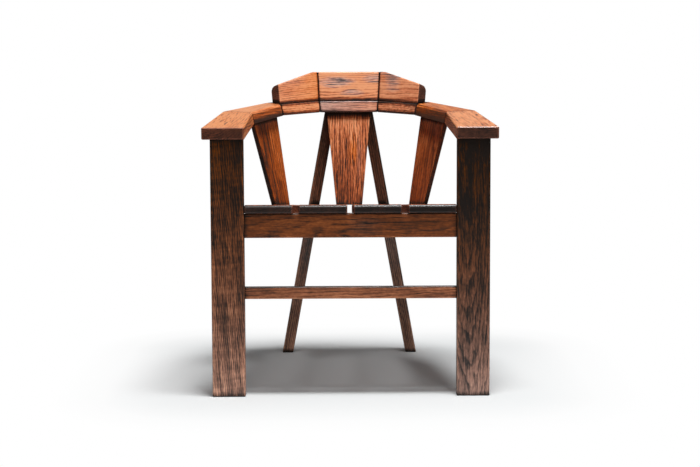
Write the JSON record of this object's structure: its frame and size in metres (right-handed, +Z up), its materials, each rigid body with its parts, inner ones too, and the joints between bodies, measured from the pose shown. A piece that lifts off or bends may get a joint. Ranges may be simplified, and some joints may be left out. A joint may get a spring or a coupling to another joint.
{
  "type": "armchair",
  "caption": "Low-backed wooden armchair: wide front legs, a many-sided mitred arm bow, tapered splats, a board seat and leaning rear legs.",
  "frame": {"origin": "on the floor, at the middle of the chair's footprint box", "axes": "+Z up, +X to the right seen from the front, -Y towards the front, where the sitter faces"},
  "size_m": [0.6856, 0.65, 0.7471],
  "materials": {
    "leg_oak": "dark red-brown stain under glossy lacquer, upright grain",
    "bow_oak": "red-brown stain under glossy lacquer, grain along each run, worn edges",
    "crest_oak": "red-brown stain under glossy lacquer, grain across the chair, darker end grain",
    "splat_oak": "warm orange-brown stain under glossy lacquer, upright grain",
    "seat_oak": "red-brown stain under worn glossy lacquer, grain front to back",
    "rail_oak": "dark red-brown stain under glossy lacquer, grain along the rail",
    "plain_beech": "bare, glued"
  },
  "bodies": {
    "root": {"left_front_leg": "leg_oak", "right_front_leg": "leg_oak", "left_rear_leg": "leg_oak", "right_rear_leg": "leg_oak", "left_arm": "bow_oak", "right_arm": "bow_oak", "left_bow_side": "bow_oak", "right_bow_side": "bow_oak", "left_bow_rear": "bow_oak", "right_bow_rear": "bow_oak", "bow_back": "bow_oak", "left_crest": "crest_oak", "middle_crest": "crest_oak", "right_crest": "crest_oak", "left_splat": "splat_oak", "middle_splat": "splat_oak", "right_splat": "splat_oak", "left_outer_seat_board": "seat_oak", "left_inner_seat_board": "seat_oak", "right_inner_seat_board": "seat_oak", "right_outer_seat_board": "seat_oak", "front_seat_rail": "rail_oak", "rear_seat_rail": "rail_oak", "left_seat_rail": "rail_oak", "right_seat_rail": "rail_oak", "front_stretcher": "rail_oak", "bow_tongues": "plain_beech", "crest_tongues": "plain_beech", "rear_rail_tongues": "plain_beech", "seat_tongues": "plain_beech"}
  },
  "joints": []
}
